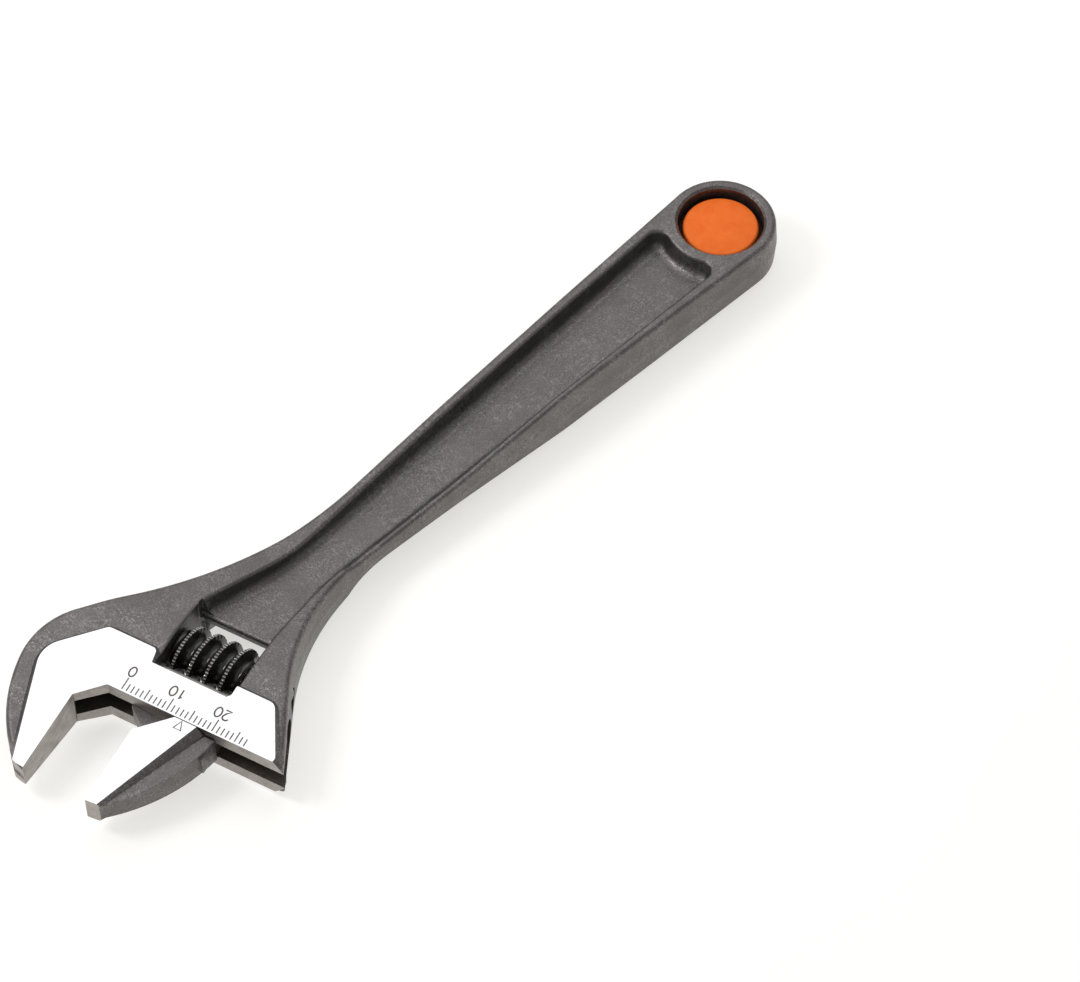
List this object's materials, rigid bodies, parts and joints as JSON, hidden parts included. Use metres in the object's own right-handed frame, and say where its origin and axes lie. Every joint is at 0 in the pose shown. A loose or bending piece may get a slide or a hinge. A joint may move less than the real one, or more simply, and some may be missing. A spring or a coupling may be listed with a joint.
{
  "type": "adjustable wrench",
  "caption": "Adjustable wrench with an angled head, a sliding jaw moved by a thumb worm, an engraved opening scale and a plugged hanging hole.",
  "frame": {"origin": "middle of the fixed jaw's gripping face, halfway through the wrench's thickness", "axes": "+X out of the fixed jaw's gripping face, the way the movable jaw opens; +Y from the jaws toward the handle, 15 degrees off the handle's length; +Z out of the side with the engraved scale"},
  "size_m": [0.0807, 0.1933, 0.0126],
  "materials": {
    "phosphated_steel": "matte dark phosphate, ground bright on the jaw and head faces",
    "black_steel": "semi-gloss black with fine knurling on the crests",
    "pin_steel": "satin, darkened",
    "spring_steel": "drawn wire",
    "orange_plastic": "matte"
  },
  "bodies": {
    "wrench": {"body": "phosphated_steel", "knurl_pin": "pin_steel", "knurl_spring": "spring_steel", "hang_hole_plug": "orange_plastic"},
    "jaw": {"movable_jaw": "phosphated_steel"},
    "worm": {"knurl": "black_steel"}
  },
  "joints": [
    {"name": "jaw_slide", "type": "slide", "parent": "wrench", "child": "jaw", "axis": [1, 0, 0], "range_m": [-0.0141, 0.01287]},
    {"name": "knurl_spin", "type": "hinge", "parent": "wrench", "child": "worm", "pos_m": [0.0187, 0.03, 0], "axis": [1, 0, 0], "range_deg": [-1430, 1305]}
  ],
  "couplings": [
    {"joint": "knurl_spin", "follows": "jaw_slide", "rad_per_m": 1764.9}
  ]
}
